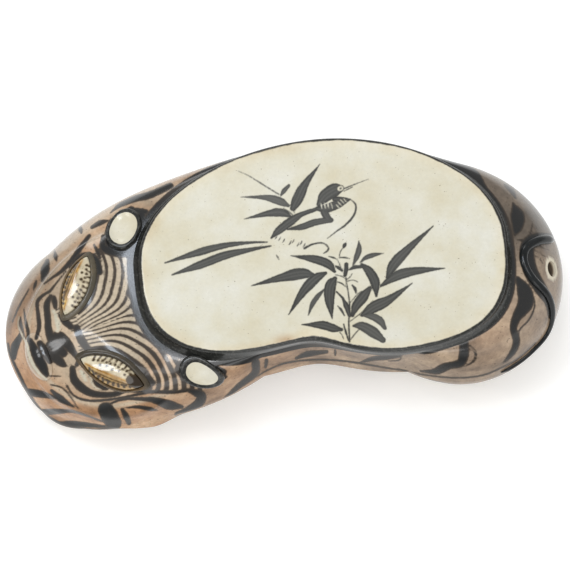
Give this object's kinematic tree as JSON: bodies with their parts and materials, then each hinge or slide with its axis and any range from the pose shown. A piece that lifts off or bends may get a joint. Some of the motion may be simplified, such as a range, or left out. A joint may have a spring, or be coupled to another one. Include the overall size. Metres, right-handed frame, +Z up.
{
  "type": "ceramic pillow",
  "caption": "Hollow glazed stoneware pillow shaped as a crouching tiger, with a dished kidney-shaped headrest painted with a bird on bamboo, applied face pieces and a flat base.",
  "frame": {"origin": "middle of the plan box, on the flat underside of the base slab", "axes": "+X along the length towards the rump, +Y towards the straight back, +Z up through the headrest; the head is at -X and the hollow front at -Y"},
  "size_m": [0.358, 0.1748, 0.1095],
  "materials": {
    "white_slip": "gloss",
    "russet_body": "gloss",
    "black_slip": "gloss",
    "bare_stoneware": "matte"
  },
  "bodies": {
    "root": {"base_slab": "bare_stoneware", "lower_body": "russet_body", "upper_body": "russet_body", "headrest_slab": "white_slip", "left_ear": "white_slip", "right_ear": "white_slip", "left_eyeball": "white_slip", "right_eyeball": "white_slip", "left_eyelid": "black_slip", "right_eyelid": "black_slip", "nose_pad": "black_slip", "tail_coil": "black_slip", "headrest_coil": "bare_stoneware", "seam_coil": "bare_stoneware", "base_coil": "bare_stoneware"}
  },
  "joints": []
}
